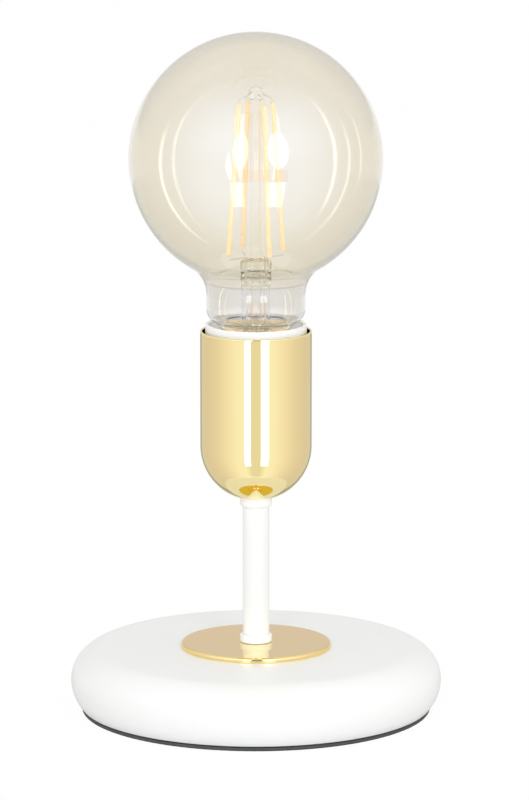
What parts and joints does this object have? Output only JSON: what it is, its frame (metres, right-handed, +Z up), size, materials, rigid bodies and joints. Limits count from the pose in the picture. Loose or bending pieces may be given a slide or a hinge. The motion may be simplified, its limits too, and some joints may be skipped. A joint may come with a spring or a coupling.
{
  "type": "bedside lamp",
  "caption": "Small table lamp with a round weighted base, a thin stem, a metal cup over the lampholder and a bare globe bulb that screws out.",
  "frame": {"origin": "centre of the foot's underside, on the lamp's axis", "axes": "+Z up along the stem, -Y to the front, +Y to the back where the cable enters"},
  "size_m": [0.1404, 0.1414, 0.2582],
  "materials": {
    "foot_foam": "matt black closed-cell foam",
    "plate_black": "black lacquered steel",
    "white_lacquer": "satin white lacquer",
    "cast_iron": "as cast, dark",
    "white_rubber": "matt white",
    "polished_brass": "mirror polished, clear lacquered",
    "satin_brass": "satin polished",
    "contact_brass": "plain stamped",
    "zinc_steel": "bright zinc plated",
    "clear_nylon": "natural nylon",
    "holder_white": "moulded thermoplastic, half gloss",
    "porcelain": "glazed white ceramic",
    "insulation_brown": "brown insulation",
    "insulation_blue": "blue insulation",
    "amber_glass": "clear glass with a light champagne tint",
    "clear_glass": "clear",
    "phosphor": "yellow phosphor coating, unlit",
    "nickel_wire": "drawn nickel wire",
    "cap_brass": "rolled thread, bright",
    "black_glass": "black glass insulator",
    "solder": "tinned, dull",
    "cement": "tan capping cement",
    "board_green": "glass-fibre board",
    "part_dark": "moulded electronic parts"
  },
  "bodies": {
    "lamp": {"foot_pad": "foot_foam", "bottom_plate": "plate_black", "bottom_plate_screws": "zinc_steel", "base_shell": "white_lacquer", "base_weight": "cast_iron", "cable_grommet": "white_rubber", "terminal_block": "clear_nylon", "terminal_clamps": "contact_brass", "clamp_screws": "zinc_steel", "terminal_block_screw": "zinc_steel", "base_disc": "satin_brass", "lower_collar": "white_lacquer", "stem_tube": "white_lacquer", "stem_bushes": "clear_nylon", "base_washer": "zinc_steel", "base_lock_washer": "zinc_steel", "base_nut": "zinc_steel", "upper_collar": "white_lacquer", "cup": "polished_brass", "cup_washer": "zinc_steel", "holder_dome": "holder_white", "holder_lock_screw": "zinc_steel", "holder_insert": "porcelain", "holder_skirt": "holder_white", "screw_shell": "contact_brass", "centre_contact": "contact_brass", "shell_terminal": "contact_brass", "terminal_screws": "zinc_steel", "lead_live": "insulation_brown", "lead_neutral": "insulation_blue"},
    "bulb_tip": {"bulb_end_contact": "solder"},
    "bulb": {"bulb_globe": "amber_glass", "bulb_glass_mount": "clear_glass", "led_filaments": "phosphor", "filament_supports": "nickel_wire", "lead_in_wires": "nickel_wire", "bulb_cap": "cap_brass", "cap_insulator": "black_glass", "cap_cement": "cement", "driver_board": "board_green", "driver_parts": "part_dark", "cap_leads": "nickel_wire"}
  },
  "joints": [
    {"name": "bulb_rise", "type": "slide", "parent": "lamp", "child": "bulb_tip", "axis": [0, 0, 1], "range_m": [0, 0.01815]},
    {"name": "bulb_turn", "type": "hinge", "parent": "bulb_tip", "child": "bulb", "pos_m": [0, 0, 0.1202], "axis": [0, 0, 1], "range_deg": [0, 1800]}
  ],
  "couplings": [
    {"joint": "bulb_rise", "follows": "bulb_turn", "m_per_rad": 0.00057757}
  ]
}
